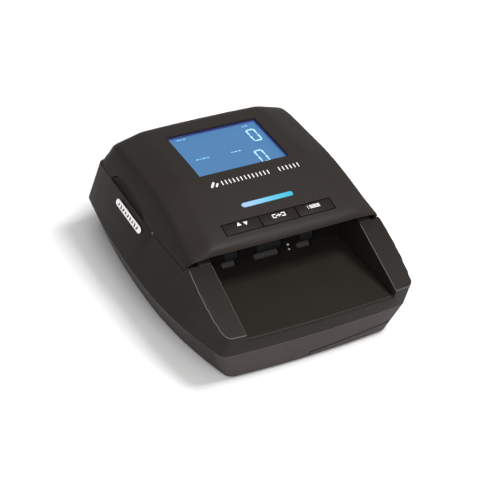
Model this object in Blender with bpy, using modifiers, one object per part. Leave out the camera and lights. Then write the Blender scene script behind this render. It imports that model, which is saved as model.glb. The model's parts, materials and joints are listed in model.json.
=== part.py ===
"""Counterfeit note detector for a shop counter.

A low plastic case takes a banknote from its front tray, draws it between a lower bed
and an upper path plate, reads it, and passes it out at the back.  The top cover carries
the display and keys and lifts about a hinge at the rear so the path can be cleaned.

Frame: X to the right, Y to the back, Z up, with the origin on the ground under the
middle of the case.  Units are metres, and MM turns millimetres into metres.
"""
import math

import bmesh
import bpy
from mathutils import Matrix, Vector

MM = 0.001
FAR = 100 * MM                  # cutters reach out to here

# ---------------------------------------------------------------- overall sizes
GAP = 0.3 * MM                  # clearance between pieces that meet
WALL = 2.2 * MM                 # wall of the base housing
COVER_WALL = 2.0 * MM
FOOT_STAND = 1.5 * MM           # how far the feet lift the case

CASE_HALF_WIDTH = 69.9 * MM     # at the ridge, where the plan is widest
CASE_FRONT = -72.4 * MM         # ridge corners at the front
CASE_REAR = 73.9 * MM           # ridge corners at the rear
CASE_WIDEST_Y = -7.6 * MM
RIDGE_Z = 19.3 * MM
SEAM_Z = 46.2 * MM              # where the cover sits on the base
CROWN_Z = 66.3 * MM             # flat top of the cover
LOFT_TOP_Z = 49.0 * MM          # the shoulder surface is drawn up to here

FRONT_BOW = 1.9 * MM            # how far the front and rear faces bow out
REAR_BOW = 1.3 * MM

# ---------------------------------------------------------------- note path
TRAY_HALF_WIDTH = 47.7 * MM
BED_Z = 29.6 * MM               # top of the bed the note slides on
BED_THICK = 2.0 * MM
PATH_GAP = 1.6 * MM             # bed to upper path plate
PATH_PLATE = 1.6 * MM
LIP_WIDTH = 1.9 * MM            # front lip between the front face and the bed
SIDE_WALL_FOOT = 26.5 * MM      # the tray's side walls reach down to here
RAIL_FRONT_Z = 34.3 * MM        # top of the side rails at the front end
RAIL_SLOPE = 0.385              # rise of the rails towards the cover
THROAT_Y = -18.0 * MM           # where the upper plate's front wall comes down to the path
EXIT_HALF_WIDTH = TRAY_HALF_WIDTH - 2.2 * MM
EXIT_HEIGHT = 5.2 * MM

# ---------------------------------------------------------------- cover
COVER_FRONT = -32.6 * MM
COVER_REAR = 68.3 * MM
COVER_OPEN_HALF = TRAY_HALF_WIDTH - 0.8 * MM    # half width of the upper path plate
COVER_CLEAR = 0.6 * MM          # between the cover's front edge and the rails
CHEEK_TOP_Z = SEAM_Z + 6.0 * MM         # upper corner of the cheek at the front edge
CHEEK_RAKE = 0.5                # how fast the edge below it leans back
RAIL_END_Z = SEAM_Z + 3.6 * MM          # the rails run up to here
RAIL_TAIL = (55 * MM, -29.5 * MM)       # outer x and rear y of the rails' ends under the cover

# ---------------------------------------------------------------- controls and display
WINDOW_SIZE = (56.8 * MM, 36.4 * MM)
WINDOW_Y = 34.2 * MM
WINDOW_THICK = 1.5 * MM
BAR_LENGTH = 32.8 * MM
BAR_WIDTH = 2.9 * MM
BAR_Y = -9.4 * MM
KEY_STRIP_LENGTH = 69.2 * MM
KEY_DEPTH = 7.2 * MM
KEY_Y = -22.1 * MM
KEY_GAP = 0.45 * MM
KEY_TRAVEL = 0.8 * MM
KEY_TILT = math.radians(13.5)
KEY_BOARD_DROP = 8.33 * MM      # underside of the key board below the cover's surface

# ---------------------------------------------------------------- drive
ROLLER_Y = (-14.5 * MM, 42.0 * MM)      # front and rear roller lines
DRIVE_RADIUS = 6.0 * MM
DRIVE_PROUD = 0.4 * MM                  # drive rollers stand above the bed by this
SHAFT_RADIUS = 1.5 * MM
PINCH_RADIUS = 4.5 * MM
PINCH_SHAFT_RADIUS = 1.0 * MM
FRONT_ROLLERS = ((-24.3 * MM, 8.3 * MM), (0.0, 15.6 * MM), (24.3 * MM, 8.3 * MM))
REAR_ROLLERS = ((-24.3 * MM, 8.3 * MM), (24.3 * MM, 8.3 * MM))
GEAR_X = -52.6 * MM
GEAR_WIDTH = 3.0 * MM
GEAR_TEETH = 30
PINION_TEETH = 12
GEAR_MODULE = 0.6 * MM
PULLEY_X = -57.4 * MM
PULLEY_RADIUS = 5.0 * MM
PULLEY_WIDTH = 3.6 * MM
BELT_THICK = 1.0 * MM
MOTOR_RADIUS = 7.6 * MM
MOTOR_LENGTH = 18.0 * MM

# ---------------------------------------------------------------- hinge
HINGE_Y = 72.2 * MM
HINGE_Z = 46.4 * MM
HINGE_RADIUS = 2.6 * MM
HINGE_PIN_RADIUS = 1.1 * MM
HINGE_X = 33.8 * MM             # where the two knuckles of one hinge meet
KNUCKLE_LENGTH = 6.0 * MM

# ---------------------------------------------------------------- underside
FOOT_RADIUS = 5.0 * MM
FOOT_PLACES = ((-40 * MM, -55 * MM), (40 * MM, -55 * MM), (-42 * MM, 56 * MM), (42 * MM, 56 * MM))
BOTTOM_Z = 3.0 * MM
BOTTOM_THICK = 2.0 * MM
DOOR_LEFT = -3.4 * MM
DOOR_REAR = -18.0 * MM
DOOR_SEAM_LEFT_Z = 4.8 * MM
DOOR_SEAM_RIGHT_Z = 8.8 * MM
DOOR_WALL = 1.8 * MM
SCREW_PLACES = ((-45 * MM, -30 * MM), (-50 * MM, 30 * MM), (50 * MM, 30 * MM), (0.0, 62 * MM))
SCREW_RADIUS = 2.8 * MM

# ---------------------------------------------------------------- rear panel
PANEL_X = (12.0 * MM, 54.2 * MM - WALL)
PANEL_Z = (8.0 * MM, 21.0 * MM)
PANEL_Y = 70.0 * MM - WALL
PANEL_THICK = 1.6 * MM
INLET_X = 44.5 * MM
PORT_X = 33.2 * MM
ROCKER_X = 20.5 * MM
ROCKER_SIZE = (11.0 * MM, 8.0 * MM)

FINGER_Y = (13.3 * MM, 53.2 * MM)       # finger recess in the cover's left edge
FINGER_RISE = 6.8 * MM
FINGER_HOLLOW = 3.9 * MM        # how far the case's side leans in behind the recess
FINGER_CLEAR = 0.5 * MM
FINGER_BACK = -56.8 * MM        # inner face of the wall behind the recess
BADGE_Y = 26.0 * MM
BADGE_SIZE = (29.0 * MM, 3.9 * MM)
BADGE_Z = 40.8 * MM


# ================================================================ scene helpers
def clear_scene():
    for obj in list(bpy.data.objects):
        bpy.data.objects.remove(obj)


clear_scene()
PARTS = bpy.data.collections.new("note_detector")
CUTTERS = bpy.data.collections.new("cutters")
bpy.context.scene.collection.children.link(PARTS)
bpy.context.scene.collection.children.link(CUTTERS)


def plastic(name, colour, roughness=0.5, metallic=0.0):
    """A Principled material of one colour for one piece."""
    mat = bpy.data.materials.new(name)
    mat.use_nodes = True
    shader = mat.node_tree.nodes["Principled BSDF"]
    shader.inputs["Base Color"].default_value = (*colour, 1.0)
    shader.inputs["Roughness"].default_value = roughness
    shader.inputs["Metallic"].default_value = metallic
    return mat


BLACK = (0.035, 0.031, 0.029)
DARK = (0.016, 0.015, 0.015)
RUBBER = (0.05, 0.05, 0.052)
GREY_RUBBER = (0.22, 0.22, 0.23)
STEEL = (0.6, 0.6, 0.62)
NYLON = (0.75, 0.74, 0.7)
BOARD = (0.03, 0.16, 0.07)
WHITE = (0.85, 0.85, 0.85)


def finish_object(name, bm, collection, origin=(0, 0, 0)):
    """Turns a bmesh in world coordinates into an object whose origin is at `origin`."""
    mesh = bpy.data.meshes.new(name)
    bm.to_mesh(mesh)
    bm.free()
    mesh.transform(Matrix.Translation(-Vector(origin)))
    obj = bpy.data.objects.new(name, mesh)
    obj.location = origin
    collection.objects.link(obj)
    return obj


def piece(name, bm, colour, roughness=0.5, metallic=0.0, origin=(0, 0, 0)):
    obj = finish_object(name, bm, PARTS, origin)
    obj.data.materials.append(plastic(name, colour, roughness, metallic))
    obj.data.shade_smooth()
    obj.data.set_sharp_from_angle(angle=math.radians(30))
    return obj


def cutter(name, bm):
    obj = finish_object(name, bm, CUTTERS)
    obj.hide_render = True
    obj.display_type = 'WIRE'
    return obj


def boolean(target, tool, operation='DIFFERENCE'):
    mod = target.modifiers.new(tool.name, 'BOOLEAN')
    mod.operation = operation
    mod.object = tool
    mod.solver = 'EXACT'
    return target


def hang_on(parent, children):
    """Parents pieces to the empty on their joint's axis, without moving them."""
    bpy.context.view_layer.update()
    for child in children:
        child.parent = parent
        child.matrix_parent_inverse = parent.matrix_world.inverted()


def axis_empty(name, place):
    empty = bpy.data.objects.new(name, None)
    empty.empty_display_size = 0.01
    empty.location = place
    PARTS.objects.link(empty)
    return empty


# ================================================================ shape helpers
def box(low, high, bevel=0.0):
    """A block between two corners, with its edges bevelled if asked."""
    bm = bmesh.new()
    bmesh.ops.create_cube(bm, size=1.0)
    low, high = Vector(low), Vector(high)
    size = high - low
    bmesh.ops.scale(bm, vec=size, verts=bm.verts)
    bmesh.ops.translate(bm, vec=(low + high) / 2, verts=bm.verts)
    if bevel:
        bmesh.ops.bevel(bm, geom=bm.edges[:], offset=bevel, segments=2, profile=0.5, affect='EDGES')
    return bm


def rod(radius, start, end, segments=20, end_radius=None):
    """A cylinder or cone between two points."""
    start, end = Vector(start), Vector(end)
    run = end - start
    bm = bmesh.new()
    bmesh.ops.create_cone(bm, cap_ends=True, segments=segments, radius1=radius,
                          radius2=radius if end_radius is None else end_radius, depth=run.length)
    turn = run.to_track_quat('Z', 'Y').to_matrix().to_4x4()
    bmesh.ops.transform(bm, matrix=Matrix.Translation((start + end) / 2) @ turn, verts=bm.verts)
    return bm


def prism(outline, low, high, axis):
    """An outline in the two other axes, extruded from low to high along `axis` (0, 1 or 2)."""
    bm = bmesh.new()
    verts = []
    for a, b in outline:
        point = [a, b]
        point.insert(axis, low)
        verts.append(bm.verts.new(point))
    face = bm.faces.new(verts)
    grown = bmesh.ops.extrude_face_region(bm, geom=[face])
    shift = Vector((0, 0, 0))
    shift[axis] = high - low
    moved = [item for item in grown["geom"] if isinstance(item, bmesh.types.BMVert)]
    bmesh.ops.translate(bm, vec=shift, verts=moved)
    bmesh.ops.recalc_face_normals(bm, faces=bm.faces)
    return bm


def tube_ring(outer, inner, start, end, segments=24):
    """A ring with a round bore, turned about the line from start to end."""
    bm = bmesh.new()
    start, end = Vector(start), Vector(end)
    run = end - start
    profile = [(outer, 0.0), (outer, run.length), (inner, run.length), (inner, 0.0)]
    verts = [bm.verts.new((r, 0, h)) for r, h in profile]
    edges = [bm.edges.new((verts[i], verts[(i + 1) % 4])) for i in range(4)]
    bmesh.ops.spin(bm, geom=verts + edges, cent=(0, 0, 0), axis=(0, 0, 1), angle=2 * math.pi,
                   steps=segments, use_merge=True)
    bmesh.ops.remove_doubles(bm, verts=bm.verts, dist=1e-6)
    bmesh.ops.recalc_face_normals(bm, faces=bm.faces)
    turn = run.to_track_quat('Z', 'Y').to_matrix().to_4x4()
    bmesh.ops.transform(bm, matrix=Matrix.Translation(start) @ turn, verts=bm.verts)
    return bm


def stadium(length, width, steps=6):
    """Outline of a bar with round ends, centred on zero."""
    radius = width / 2
    points = []
    for side, start in ((1, -90), (-1, 90)):
        for i in range(steps + 1):
            angle = math.radians(start + 180 * i / steps)
            points.append((side * (length / 2 - radius) + radius * math.cos(angle), radius * math.sin(angle)))
    return points


def toothed_outline(teeth, module, phase):
    """Outline of a spur gear with straight-sided teeth, turned by `phase`."""
    root, tip = module * (teeth / 2 - 1.15), module * (teeth / 2 + 0.85)
    points = []
    for tooth in range(teeth):
        for part, radius in ((0.0, root), (0.22, tip), (0.5, tip), (0.72, root)):
            angle = 2 * math.pi * (tooth + part) / teeth + phase
            points.append((radius * math.cos(angle), radius * math.sin(angle)))
    return points


def gear(teeth, module, phase, x_low, x_high, centre, bore):
    """A spur gear on an X axis at centre (y, z), with a round bore."""
    shape = prism([(centre[0] + a, centre[1] + b) for a, b in toothed_outline(teeth, module, phase)],
                  x_low, x_high, 0)
    hole = cutter("bore_cutter", rod(bore, (x_low - 1 * MM, *centre), (x_high + 1 * MM, *centre)))
    return shape, hole


# ================================================================ the case's plan
def plan_level(half_front, half_wide, half_rear, front, rear, z):
    return dict(half_front=half_front, half_wide=half_wide, half_rear=half_rear, front=front,
                rear=rear, z=z)


DRAFT = 8.2 * MM                # how far the skirt slopes in below the ridge
FRONT_DRAFT = 1.6 * MM
REAR_DRAFT = 2.4 * MM
RIDGE = plan_level(CASE_HALF_WIDTH - 11.1 * MM, CASE_HALF_WIDTH, CASE_HALF_WIDTH - 8.4 * MM,
                   CASE_FRONT, CASE_REAR, RIDGE_Z)
SOLE = plan_level(RIDGE["half_front"] - DRAFT + 0.4 * MM, CASE_HALF_WIDTH - DRAFT,
                  RIDGE["half_rear"] - DRAFT, CASE_FRONT + FRONT_DRAFT, CASE_REAR - REAR_DRAFT,
                  FOOT_STAND)
SHOULDER = plan_level(CASE_HALF_WIDTH - 9.7 * MM, CASE_HALF_WIDTH - 8.3 * MM,
                      CASE_HALF_WIDTH - 10.2 * MM, CASE_FRONT - 2.6 * MM, CASE_REAR - 4.5 * MM,
                      LOFT_TOP_Z)


def between(low, high, z):
    """The plan at height z on the straight slope between two levels."""
    share = (z - low["z"]) / (high["z"] - low["z"])
    return {key: low[key] + (high[key] - low[key]) * share for key in low}


SEAM_PLAN = between(RIDGE, SHOULDER, SEAM_Z)


def plan_half(level, y):
    """Half width of a plan at y, on the front or the rear arc of its barrel side."""
    if y < CASE_WIDEST_Y:
        share, end = (CASE_WIDEST_Y - y) / (CASE_WIDEST_Y - level["front"]), level["half_front"]
    else:
        share, end = (y - CASE_WIDEST_Y) / (level["rear"] - CASE_WIDEST_Y), level["half_rear"]
    return level["half_wide"] - (level["half_wide"] - end) * share ** 2


END_STEPS = 10                  # straight pieces across the front and the rear
SIDE_STEPS = 8                  # straight pieces in each of a side's two arcs
PLAN_CORNERS = (0, END_STEPS, END_STEPS + 2 * SIDE_STEPS, 2 * END_STEPS + 2 * SIDE_STEPS)


def plan_points(level, inset=0.0, front_steps=END_STEPS, side_steps=SIDE_STEPS):
    """Closed plan outline: bowed front, two barrel arcs a side, bowed rear."""
    level = dict(level, front=level["front"] + inset, rear=level["rear"] - inset)
    front, rear = level["front"], level["rear"]

    def half(y):
        return plan_half(level, y) - inset

    right = [front + (CASE_WIDEST_Y - front) * i / side_steps for i in range(side_steps)]
    right += [CASE_WIDEST_Y + (rear - CASE_WIDEST_Y) * i / side_steps for i in range(side_steps + 1)]
    points = []
    for i in range(front_steps):
        x = half(front) * (-1 + 2 * i / front_steps)
        points.append((x, front - FRONT_BOW * (1 - (x / half(front)) ** 2)))
    points += [(half(y), y) for y in right]
    for i in range(1, front_steps):
        x = half(rear) * (1 - 2 * i / front_steps)
        points.append((x, rear + REAR_BOW * (1 - (x / half(rear)) ** 2)))
    points += [(-half(y), y) for y in reversed(right[1:])]
    return points


def loft(levels, inset=0.0, corner=0.0):
    """A closed solid through plan outlines, with its four upright corners rounded."""
    bm = bmesh.new()
    rings = []
    for level in levels:
        rings.append([bm.verts.new((x, y, level["z"])) for x, y in plan_points(level, inset)])
    count = len(rings[0])
    for lower, upper in zip(rings, rings[1:]):
        for i in range(count):
            j = (i + 1) % count
            bm.faces.new((lower[i], lower[j], upper[j], upper[i]))
    bm.faces.new(list(reversed(rings[0])))
    bm.faces.new(rings[-1])
    if corner:
        uprights = [bm.edges.get((lower[k], upper[k]))
                    for lower, upper in zip(rings, rings[1:]) for k in PLAN_CORNERS]
        bmesh.ops.bevel(bm, geom=uprights, offset=corner, segments=3, profile=0.5, affect='EDGES')
    bmesh.ops.recalc_face_normals(bm, faces=bm.faces)
    return bm


def rail_z(y):
    return RAIL_FRONT_Z + RAIL_SLOPE * (y - CASE_FRONT)


def cheek_front_y(z):
    """The cover's front edge, which rakes back below the cheek's upper corner."""
    return COVER_FRONT + CHEEK_RAKE * max(CHEEK_TOP_Z - z, 0.0)


# ================================================================ base housing
def base_roof(drop=0.0, far=FAR):
    """Side profile of everything above the rails and the seam, lowered by `drop`."""
    rail_end = cheek_front_y(RAIL_END_Z) - COVER_CLEAR
    foot = cheek_front_y(SEAM_Z) - COVER_CLEAR
    outline = [(-far, rail_z(-far) - drop), (rail_end, rail_z(rail_end) - drop),
               (foot, SEAM_Z - drop), (far, SEAM_Z - drop), (far, far), (-far, far)]
    return prism(outline, -far, far, 0)


def bed_outline(clear=0.0, rear=66.4 * MM):
    """Plan of the note bed, whose front edge follows the bow of the lip."""
    half = TRAY_HALF_WIDTH - clear
    front = CASE_FRONT - 1.0 * MM + LIP_WIDTH + clear
    points = [(half, rear - clear), (-half, rear - clear)]
    steps = 12
    for i in range(steps + 1):
        x = half * (-1 + 2 * i / steps)
        points.append((x, front - FRONT_BOW * (1 - (x / RIDGE["half_front"]) ** 2)))
    return points


def finger_outline(clear=0.0):
    """Arch of the finger recess, steeper towards the rear, drawn smaller by `clear`."""
    front, rear = FINGER_Y[0] + clear, FINGER_Y[1] - clear
    base, top = SEAM_Z - 3 * MM, SEAM_Z + FINGER_RISE - clear
    return [(front - 0.6 * MM, base), (front, SEAM_Z + 0.6 * MM), (front + 5.5 * MM, top - 2.4 * MM),
            (front + 20 * MM, top - 0.8 * MM), (rear - 11.5 * MM, top), (rear - 4 * MM, top - 2.6 * MM),
            (rear, SEAM_Z + 0.4 * MM), (rear + 0.4 * MM, base)]


def finger_wall(rows=5, steps=3):
    """The case's side carried up behind the recess, leaning in as a soft hollow."""
    arch = finger_outline(FINGER_CLEAR)[1:-1]
    places = [(y0 + (y1 - y0) * i / steps, z0 + (z1 - z0) * i / steps)
              for (y0, z0), (y1, z1) in zip(arch, arch[1:]) for i in range(steps)] + [arch[-1]]
    foot = SEAM_Z - 1.5 * MM
    bm = bmesh.new()
    rings = []
    for y, top in places:
        depth = FINGER_HOLLOW * (top - SEAM_Z) / FINGER_RISE
        ring = []
        for row in range(rows):
            share = row / (rows - 1)
            x = GAP / 2 - plan_half(SEAM_PLAN, y) + depth * math.sin(share * math.pi / 2)
            ring.append(bm.verts.new((x, y, foot + (top - foot) * share)))
        ring += [bm.verts.new((FINGER_BACK, y, top)), bm.verts.new((FINGER_BACK, y, foot))]
        rings.append(ring)
    for ring, following in zip(rings, rings[1:]):
        for i in range(len(ring)):
            j = (i + 1) % len(ring)
            bm.faces.new((ring[i], ring[j], following[j], following[i]))
    bm.faces.new(list(reversed(rings[0])))
    bm.faces.new(rings[-1])
    bmesh.ops.recalc_face_normals(bm, faces=bm.faces)
    return bm


def door_zone(grow=0.0, far=FAR):
    """The volume that the battery door takes out of the skirt and the underside."""
    rise = (DOOR_SEAM_RIGHT_Z - DOOR_SEAM_LEFT_Z) / (SOLE["half_front"] - DOOR_LEFT)
    outline = [(DOOR_LEFT - grow, -far), (DOOR_LEFT - grow, 0.0),
               (DOOR_LEFT + 2.2 * MM - grow, DOOR_SEAM_LEFT_Z + grow),
               (far, DOOR_SEAM_LEFT_Z + rise * far + grow), (far, -far)]
    return prism(outline, -far, DOOR_REAR + grow, 1)


housing = piece("base_housing", loft([SOLE, RIDGE, SHOULDER], corner=3.2 * MM), BLACK, 0.5)
boolean(housing, cutter("roof_cutter", base_roof()))
boolean(housing, cutter("tray_cutter", box((-TRAY_HALF_WIDTH, -FAR, BED_Z),
                                           (TRAY_HALF_WIDTH, 66.4 * MM, FAR))))
boolean(housing, cutter("bed_cutter", prism(bed_outline(), SIDE_WALL_FOOT - 2 * MM, BED_Z + 1 * MM, 2)))
boolean(housing, cutter("cavity_cutter", loft(
    [between(SOLE, RIDGE, -1 * MM), RIDGE, between(RIDGE, SHOULDER, SIDE_WALL_FOOT)], inset=WALL)))

side_hollow = cutter("side_cutter", loft(
    [between(RIDGE, SHOULDER, SIDE_WALL_FOOT - 1 * MM), SHOULDER], inset=WALL + 0.1 * MM))
boolean(side_hollow, cutter("side_roof", base_roof(drop=WALL)))
wall_side = TRAY_HALF_WIDTH + WALL
boolean(side_hollow, cutter("side_middle", box((-wall_side, -FAR, 0), (wall_side, FAR, FAR))))
boolean(housing, side_hollow)

boolean(housing, cutter("exit_cutter", box((-EXIT_HALF_WIDTH, 60 * MM, BED_Z - 0.2 * MM),
                                           (EXIT_HALF_WIDTH, FAR, BED_Z + EXIT_HEIGHT))))
boolean(housing, cutter("panel_cutter", box((PANEL_X[0], 64 * MM, PANEL_Z[0]),
                                            (PANEL_X[1], FAR, PANEL_Z[1]))))
boolean(housing, cutter("door_cutter", door_zone(grow=GAP)))

for side in (-1, 1):
    low, high = sorted((side * TRAY_HALF_WIDTH, side * RAIL_TAIL[0]))
    tail_front = cheek_front_y(RAIL_END_Z) - COVER_CLEAR - 1.5 * MM
    tail_foot = SEAM_Z - 2 * MM
    tail = [(tail_front, tail_foot), (RAIL_TAIL[1], tail_foot),
            (RAIL_TAIL[1], rail_z(RAIL_TAIL[1])), (tail_front, rail_z(tail_front))]
    boolean(housing, cutter("rail_tail", prism(tail, low, high, 0)), 'UNION')

boolean(housing, cutter("finger_wall", finger_wall()), 'UNION')
for side in (-1, 1):
    notch = sorted((side * (HINGE_X + GAP), side * (HINGE_X - KNUCKLE_LENGTH - GAP)))
    boolean(housing, cutter("knuckle_notch", box(
        (notch[0], HINGE_Y - HINGE_RADIUS - 0.5 * MM, SEAM_Z - 3.2 * MM), (notch[1], FAR, FAR))))
    near, far_x = sorted((side * HINGE_X, side * (HINGE_X + KNUCKLE_LENGTH)))
    near, far_x = near + GAP / 2, far_x - GAP / 2
    boolean(housing, cutter("lug_block", box((near, 69.2 * MM, SEAM_Z - 5 * MM),
                                             (far_x, HINGE_Y + 1.6 * MM, SEAM_Z - 0.1 * MM))), 'UNION')
    boolean(housing, cutter("lug_round", rod(HINGE_RADIUS, (near, HINGE_Y, HINGE_Z),
                                             (far_x, HINGE_Y, HINGE_Z), 20)), 'UNION')
    boolean(housing, cutter("lug_bore", rod(HINGE_PIN_RADIUS + GAP, (near - 1 * MM, HINGE_Y, HINGE_Z),
                                            (far_x + 1 * MM, HINGE_Y, HINGE_Z), 16)))
    piece("hinge_pin_" + ("left" if side < 0 else "right"),
          rod(HINGE_PIN_RADIUS, (side * (HINGE_X - KNUCKLE_LENGTH), HINGE_Y, HINGE_Z),
              (side * (HINGE_X + KNUCKLE_LENGTH), HINGE_Y, HINGE_Z), 12), STEEL, 0.3, 1.0)

# ---------------------------------------------------------------- underside
bottom = piece("bottom_plate", loft([between(SOLE, RIDGE, BOTTOM_Z),
                                     between(SOLE, RIDGE, BOTTOM_Z + BOTTOM_THICK)],
                                    inset=WALL + GAP, corner=1 * MM), DARK, 0.6)
boolean(bottom, cutter("plate_door_cutter", door_zone(grow=GAP)))

door_top = between(SOLE, RIDGE, DOOR_SEAM_RIGHT_Z + 3 * MM)
door = piece("battery_door", loft([SOLE, door_top], corner=3.2 * MM), BLACK, 0.5,
             origin=((DOOR_LEFT + SOLE["half_front"]) / 2, DOOR_REAR, FOOT_STAND))
boolean(door, cutter("door_keep", door_zone()), 'INTERSECT')
boolean(door, cutter("door_hollow", loft([between(SOLE, RIDGE, FOOT_STAND + DOOR_WALL),
                                          between(SOLE, RIDGE, 20 * MM)], inset=DOOR_WALL)))

for number, (x, y) in enumerate(FOOT_PLACES, 1):
    on_door = x > DOOR_LEFT and y < DOOR_REAR
    top = (FOOT_STAND if on_door else BOTTOM_Z) - GAP
    piece(f"rubber_foot_{number}", rod(FOOT_RADIUS, (x, y, 0), (x, y, top), 24, FOOT_RADIUS - 0.4 * MM),
          RUBBER, 0.9)
for number, (x, y) in enumerate(SCREW_PLACES, 1):
    screw = piece(f"case_screw_{number}", rod(SCREW_RADIUS, (x, y, BOTTOM_Z - GAP - 1.1 * MM),
                                              (x, y, BOTTOM_Z - GAP), 20), STEEL, 0.35, 1.0)
    for size in ((3.2 * MM, 0.7 * MM), (0.7 * MM, 3.2 * MM)):
        boolean(screw, cutter("drive_slot", box((x - size[0] / 2, y - size[1] / 2, 0),
                                                (x + size[0] / 2, y + size[1] / 2, BOTTOM_Z - GAP - 0.6 * MM))))

piece("battery_pack", box((4 * MM, -65 * MM, 5.5 * MM), (46 * MM, -24 * MM, 20 * MM), 1.5 * MM),
      (0.1, 0.2, 0.5), 0.4)
piece("main_board", box((-14 * MM, -10 * MM, 10 * MM), (41 * MM, 57 * MM, 11.6 * MM)), BOARD, 0.5)

# ---------------------------------------------------------------- note bed
DRIVE_Z = BED_Z + DRIVE_PROUD - DRIVE_RADIUS
PINCH_Z = BED_Z + DRIVE_PROUD + GAP + PINCH_RADIUS
bed = piece("note_bed", prism(bed_outline(clear=GAP), BED_Z - BED_THICK, BED_Z, 2), DARK, 0.45)
for y, rollers in zip(ROLLER_Y, (FRONT_ROLLERS, REAR_ROLLERS)):
    for x, width in rollers:
        boolean(bed, cutter("roller_hole", box((x - width / 2 - 0.6 * MM, y - 5.6 * MM, 20 * MM),
                                               (x + width / 2 + 0.6 * MM, y + 5.6 * MM, 40 * MM))))
SENSOR_Y = (20 * MM, 29 * MM)
SENSOR_HALF = TRAY_HALF_WIDTH - 7.7 * MM
BOARD_HALF = 28 * MM
HEAD_Y = (6 * MM, 10.5 * MM)
HEAD_HALF = 32 * MM
boolean(bed, cutter("bed_window_hole", box((-SENSOR_HALF - GAP, SENSOR_Y[0] - GAP, 20 * MM),
                                           (SENSOR_HALF + GAP, SENSOR_Y[1] + GAP, 40 * MM))))
boolean(bed, cutter("head_hole", box((-HEAD_HALF - GAP, HEAD_Y[0] - GAP, 20 * MM),
                                     (HEAD_HALF + GAP, HEAD_Y[1] + GAP, 40 * MM))))
piece("bed_sensor_window", box((-SENSOR_HALF, SENSOR_Y[0], BED_Z - 1.8 * MM),
                               (SENSOR_HALF, SENSOR_Y[1], BED_Z - 0.1 * MM)), (0.05, 0.02, 0.08), 0.1)
piece("magnetic_head", box((-HEAD_HALF, HEAD_Y[0], BED_Z - 6 * MM),
                           (HEAD_HALF, HEAD_Y[1], BED_Z), 0.4 * MM), STEEL, 0.3, 1.0)
piece("bed_sensor_board", box((-BOARD_HALF, SENSOR_Y[0] - 1 * MM, BED_Z - 7 * MM),
                              (BOARD_HALF, SENSOR_Y[1] + 1 * MM, BED_Z - 5.6 * MM)), BOARD, 0.5)

# ---------------------------------------------------------------- drive train
MOTOR_SPACING = GEAR_MODULE * (GEAR_TEETH + PINION_TEETH) / 2 + 0.2 * MM
MOTOR_ANGLE = math.radians(-142)
MOTOR_Y = ROLLER_Y[1] + MOTOR_SPACING * math.cos(MOTOR_ANGLE)
MOTOR_Z = DRIVE_Z + MOTOR_SPACING * math.sin(MOTOR_ANGLE)
MOTOR_END_X = GEAR_X + GEAR_WIDTH / 2 + 2.2 * MM
BLOCK_X = (TRAY_HALF_WIDTH - 4.2 * MM, TRAY_HALF_WIDTH - 1.2 * MM)


def drive_line(label, y, rollers, extra_pieces):
    """One driven shaft with its rubber rollers, pulley and bearing blocks."""
    names = ("left", "middle", "right") if len(rollers) == 3 else ("left", "right")
    pieces = [piece(f"{label}_drive_shaft", rod(SHAFT_RADIUS, (PULLEY_X - PULLEY_WIDTH / 2 - 0.8 * MM, y, DRIVE_Z),
                                                (BLOCK_X[1] + 2 * MM, y, DRIVE_Z), 14), STEEL, 0.3, 1.0,
                    origin=(0, y, DRIVE_Z))]
    for name, (x, width) in zip(names, rollers):
        pieces.append(piece(f"{label}_drive_roller_{name}",
                            tube_ring(DRIVE_RADIUS, SHAFT_RADIUS + GAP, (x - width / 2, y, DRIVE_Z),
                                      (x + width / 2, y, DRIVE_Z), 28), RUBBER, 0.85,
                            origin=(0, y, DRIVE_Z)))
    pieces.append(piece(f"{label}_pulley",
                        tube_ring(PULLEY_RADIUS, SHAFT_RADIUS + GAP, (PULLEY_X - PULLEY_WIDTH / 2, y, DRIVE_Z),
                                  (PULLEY_X + PULLEY_WIDTH / 2, y, DRIVE_Z), 24), NYLON, 0.5,
                        origin=(0, y, DRIVE_Z)))
    for side, word in ((-1, "left"), (1, "right")):
        low, high = sorted((side * BLOCK_X[0], side * BLOCK_X[1]))
        block = piece(f"{label}_bearing_{word}", box((low, y - 3.6 * MM, DRIVE_Z - 3.5 * MM),
                                                     (high, y + 3.6 * MM, BED_Z - BED_THICK - GAP)), NYLON, 0.5)
        boolean(block, cutter("bearing_bore", rod(SHAFT_RADIUS + GAP, (low - 1 * MM, y, DRIVE_Z),
                                                  (high + 1 * MM, y, DRIVE_Z), 16)))
    axle = axis_empty(f"{label}_axle_axis", (0, y, DRIVE_Z))
    hang_on(axle, pieces + extra_pieces)


TOOTH_MIDDLE, SPACE_MIDDLE = 0.36, 0.86         # shares of one tooth pitch
GEAR_PHASE = MOTOR_ANGLE - 2 * math.pi * TOOTH_MIDDLE / GEAR_TEETH
PINION_PHASE = MOTOR_ANGLE + math.pi - 2 * math.pi * SPACE_MIDDLE / PINION_TEETH
gear_shape, gear_hole = gear(GEAR_TEETH, GEAR_MODULE, GEAR_PHASE,
                             GEAR_X - GEAR_WIDTH / 2, GEAR_X + GEAR_WIDTH / 2,
                             (ROLLER_Y[1], DRIVE_Z), SHAFT_RADIUS + GAP)
drive_gear = piece("drive_gear", gear_shape, NYLON, 0.45, origin=(0, ROLLER_Y[1], DRIVE_Z))
boolean(drive_gear, gear_hole)
drive_line("front", ROLLER_Y[0], FRONT_ROLLERS, [])
drive_line("rear", ROLLER_Y[1], REAR_ROLLERS, [drive_gear])

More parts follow.
